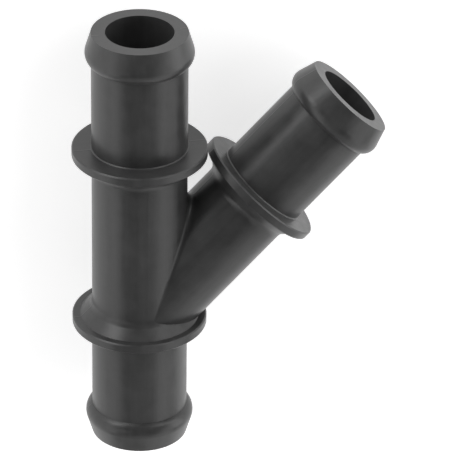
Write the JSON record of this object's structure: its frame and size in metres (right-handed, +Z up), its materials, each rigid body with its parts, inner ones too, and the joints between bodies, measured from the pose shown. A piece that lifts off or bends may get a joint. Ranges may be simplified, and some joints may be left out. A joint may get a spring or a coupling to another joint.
{
  "type": "coolant hose y connector",
  "caption": "One-piece Y connector for coolant hoses: a straight tube and an angled branch, each port a beaded spigot behind a thin round collar.",
  "frame": {"origin": "centre of the lower port's end face, on the run's axis", "axes": "+Y along the straight run towards the upper port, +X towards the side that the branch leans to, +Z up from the surface that the part lies on; the surface is 13.4 mm below the origin"},
  "size_m": [0.0624, 0.0902, 0.0268],
  "materials": {
    "moulding": "satin moulded, glass-filled nylon, dark grey"
  },
  "bodies": {
    "root": {"y_connector": "moulding"}
  },
  "joints": []
}
